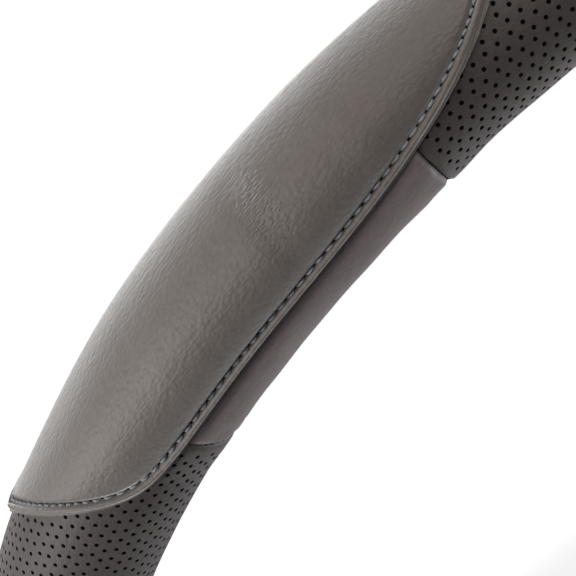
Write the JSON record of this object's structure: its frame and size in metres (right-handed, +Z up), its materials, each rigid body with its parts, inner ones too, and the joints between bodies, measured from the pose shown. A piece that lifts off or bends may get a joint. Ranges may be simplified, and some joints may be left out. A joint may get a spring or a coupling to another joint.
{
  "type": "steering wheel cover",
  "caption": "Wrap-around leather cover for a car steering wheel, with perforated arcs and a padded, stitched grip panel at each side, on a rubber ring open at the back.",
  "frame": {"origin": "the ring's centre, on the surface that the cover lies on", "axes": "+Z up, out of the side that faces the driver; +X towards the grip panel at three o'clock; +Y towards twelve o'clock"},
  "size_m": [0.4036, 0.3958, 0.0382],
  "materials": {
    "liner_rubber": "moulded, matt black",
    "perforated_leather": "fine grain, punched all over, satin",
    "side_leather": "fine grain, satin",
    "grip_leather": "fine grain, soft satin, padded",
    "foam": "open foam, hidden under the grip panels"
  },
  "bodies": {
    "root": {"liner_ring": "liner_rubber", "leather_top": "perforated_leather", "leather_bottom": "perforated_leather", "side_right": "side_leather", "side_left": "side_leather", "grip_right": "grip_leather", "grip_left": "grip_leather", "pad_right": "foam", "pad_left": "foam"}
  },
  "joints": []
}
